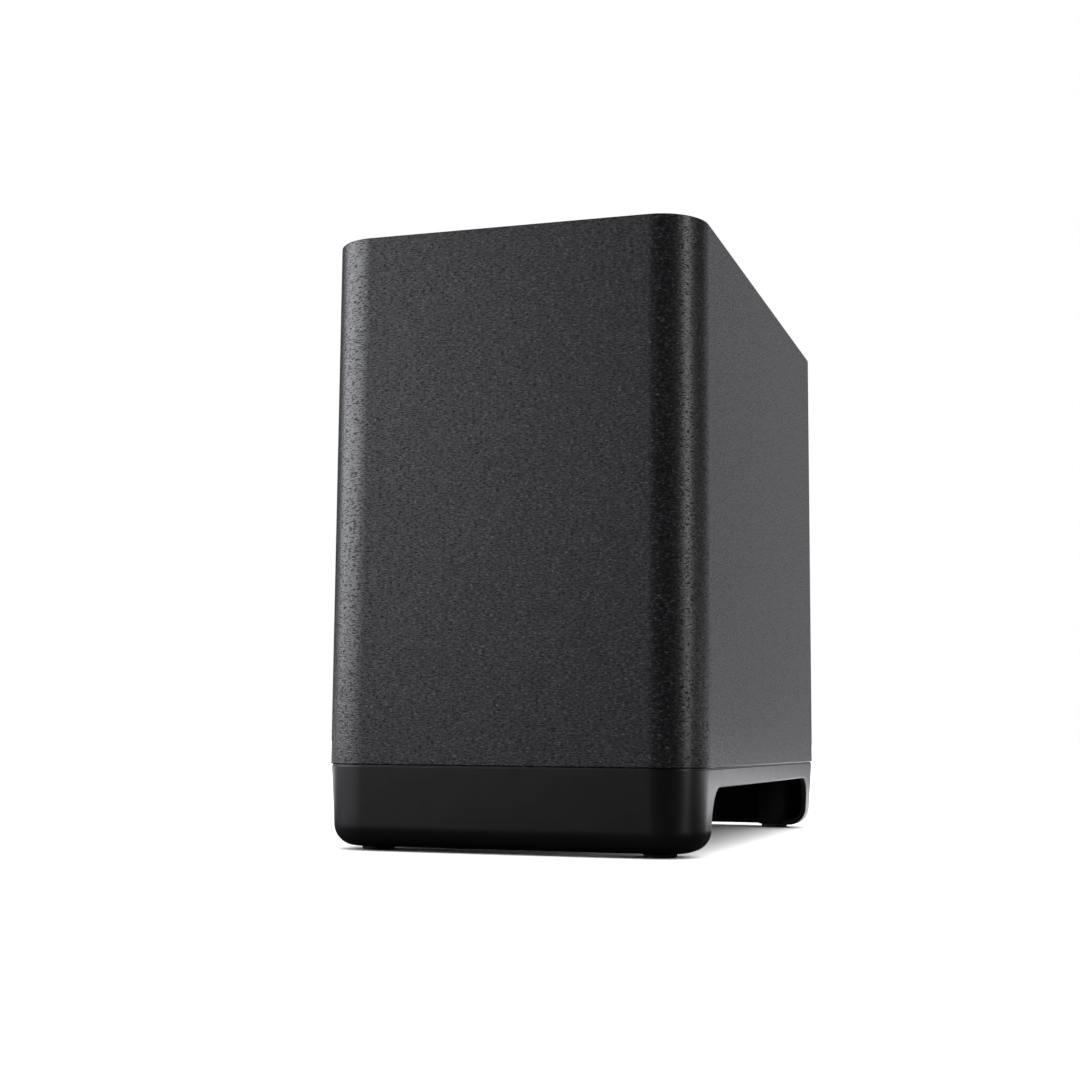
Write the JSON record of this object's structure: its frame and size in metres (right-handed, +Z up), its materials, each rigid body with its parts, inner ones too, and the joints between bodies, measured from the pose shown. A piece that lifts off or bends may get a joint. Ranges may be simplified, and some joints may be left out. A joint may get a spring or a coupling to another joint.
{
  "type": "subwoofer",
  "caption": "Wireless subwoofer of a soundbar set: tall wrapped cabinet with rounded corners, a woofer firing down over an arched base, a rear port and a rear amplifier panel.",
  "frame": {"origin": "on the floor, under the middle of the cabinet", "axes": "+Z up; the front faces -Y; +X to the right as seen from the front"},
  "size_m": [0.1936, 0.3624, 0.307],
  "materials": {
    "heather_wrap": "matte heather texture",
    "satin_black": "smooth satin",
    "black_plastic": "fine satin texture",
    "rubber": "matte",
    "foam": "closed-cell foam",
    "fibreboard": "raw fibreboard",
    "wadding": "loose polyester",
    "black_steel": "black coated",
    "zinc_steel": "zinc plated",
    "ferrite": "dark ground ferrite",
    "cone_paper": "black pulp",
    "spider_cloth": "resin-treated cloth",
    "copper": "enamelled copper",
    "former_film": "amber film",
    "circuit_board": "green solder mask",
    "aluminium": "extruded",
    "lens": "frosted clear"
  },
  "bodies": {
    "cabinet": {"cabinet_wrap": "heather_wrap", "base_plinth": "satin_black", "foot_front_left": "rubber", "foot_front_right": "rubber", "foot_rear_left": "rubber", "foot_rear_right": "rubber", "plinth_screw_front_left": "zinc_steel", "plinth_screw_front_right": "zinc_steel", "plinth_screw_rear_left": "zinc_steel", "plinth_screw_rear_right": "zinc_steel", "plinth_gasket_front": "foam", "plinth_gasket_rear": "foam", "cabinet_shell": "fibreboard", "top_panel": "fibreboard", "baffle_board": "fibreboard", "window_brace": "fibreboard", "acoustic_wadding": "wadding", "port_tube": "black_plastic", "woofer_basket": "black_steel", "woofer_gasket": "foam", "woofer_surround": "rubber", "woofer_spider": "spider_cloth", "woofer_top_plate": "zinc_steel", "woofer_magnet": "ferrite", "woofer_yoke": "zinc_steel", "woofer_terminal": "black_plastic", "tinsel_lead_left": "copper", "tinsel_lead_right": "copper", "woofer_screw_front_left": "zinc_steel", "woofer_screw_front_right": "zinc_steel", "woofer_screw_rear_left": "zinc_steel", "woofer_screw_rear_right": "zinc_steel", "amplifier_panel": "black_plastic", "panel_gasket": "foam", "panel_screw_low_left": "zinc_steel", "panel_screw_low_right": "zinc_steel", "panel_screw_top_left": "zinc_steel", "panel_screw_top_right": "zinc_steel", "mains_inlet": "black_plastic", "inlet_pin_left": "zinc_steel", "inlet_pin_right": "zinc_steel", "button_switch": "black_plastic", "status_led": "lens", "status_lens": "lens", "power_supply_board": "circuit_board", "amplifier_board": "circuit_board", "mains_transformer": "ferrite", "bulk_capacitor": "black_plastic", "heat_sink": "aluminium", "wireless_module": "circuit_board", "amplifier_cover": "black_plastic", "speaker_lead": "rubber"},
    "diaphragm": {"woofer_cone": "cone_paper", "woofer_dust_cap": "cone_paper", "voice_coil_former": "former_film", "voice_coil": "copper"},
    "button": {"pairing_button": "black_plastic", "switch_plunger": "rubber"}
  },
  "joints": [
    {"name": "diaphragm_travel", "type": "slide", "parent": "cabinet", "child": "diaphragm", "axis": [0, 0, 1], "range_m": [-0.006, 0.006], "stiffness_N_per_m": 1500, "deforming": ["woofer_surround", "woofer_spider", "tinsel_lead_left", "tinsel_lead_right"]},
    {"name": "pairing_button_press", "type": "slide", "parent": "cabinet", "child": "button", "axis": [0, -1, 0], "range_m": [0, 0.0008], "stiffness_N_per_m": 500}
  ]
}
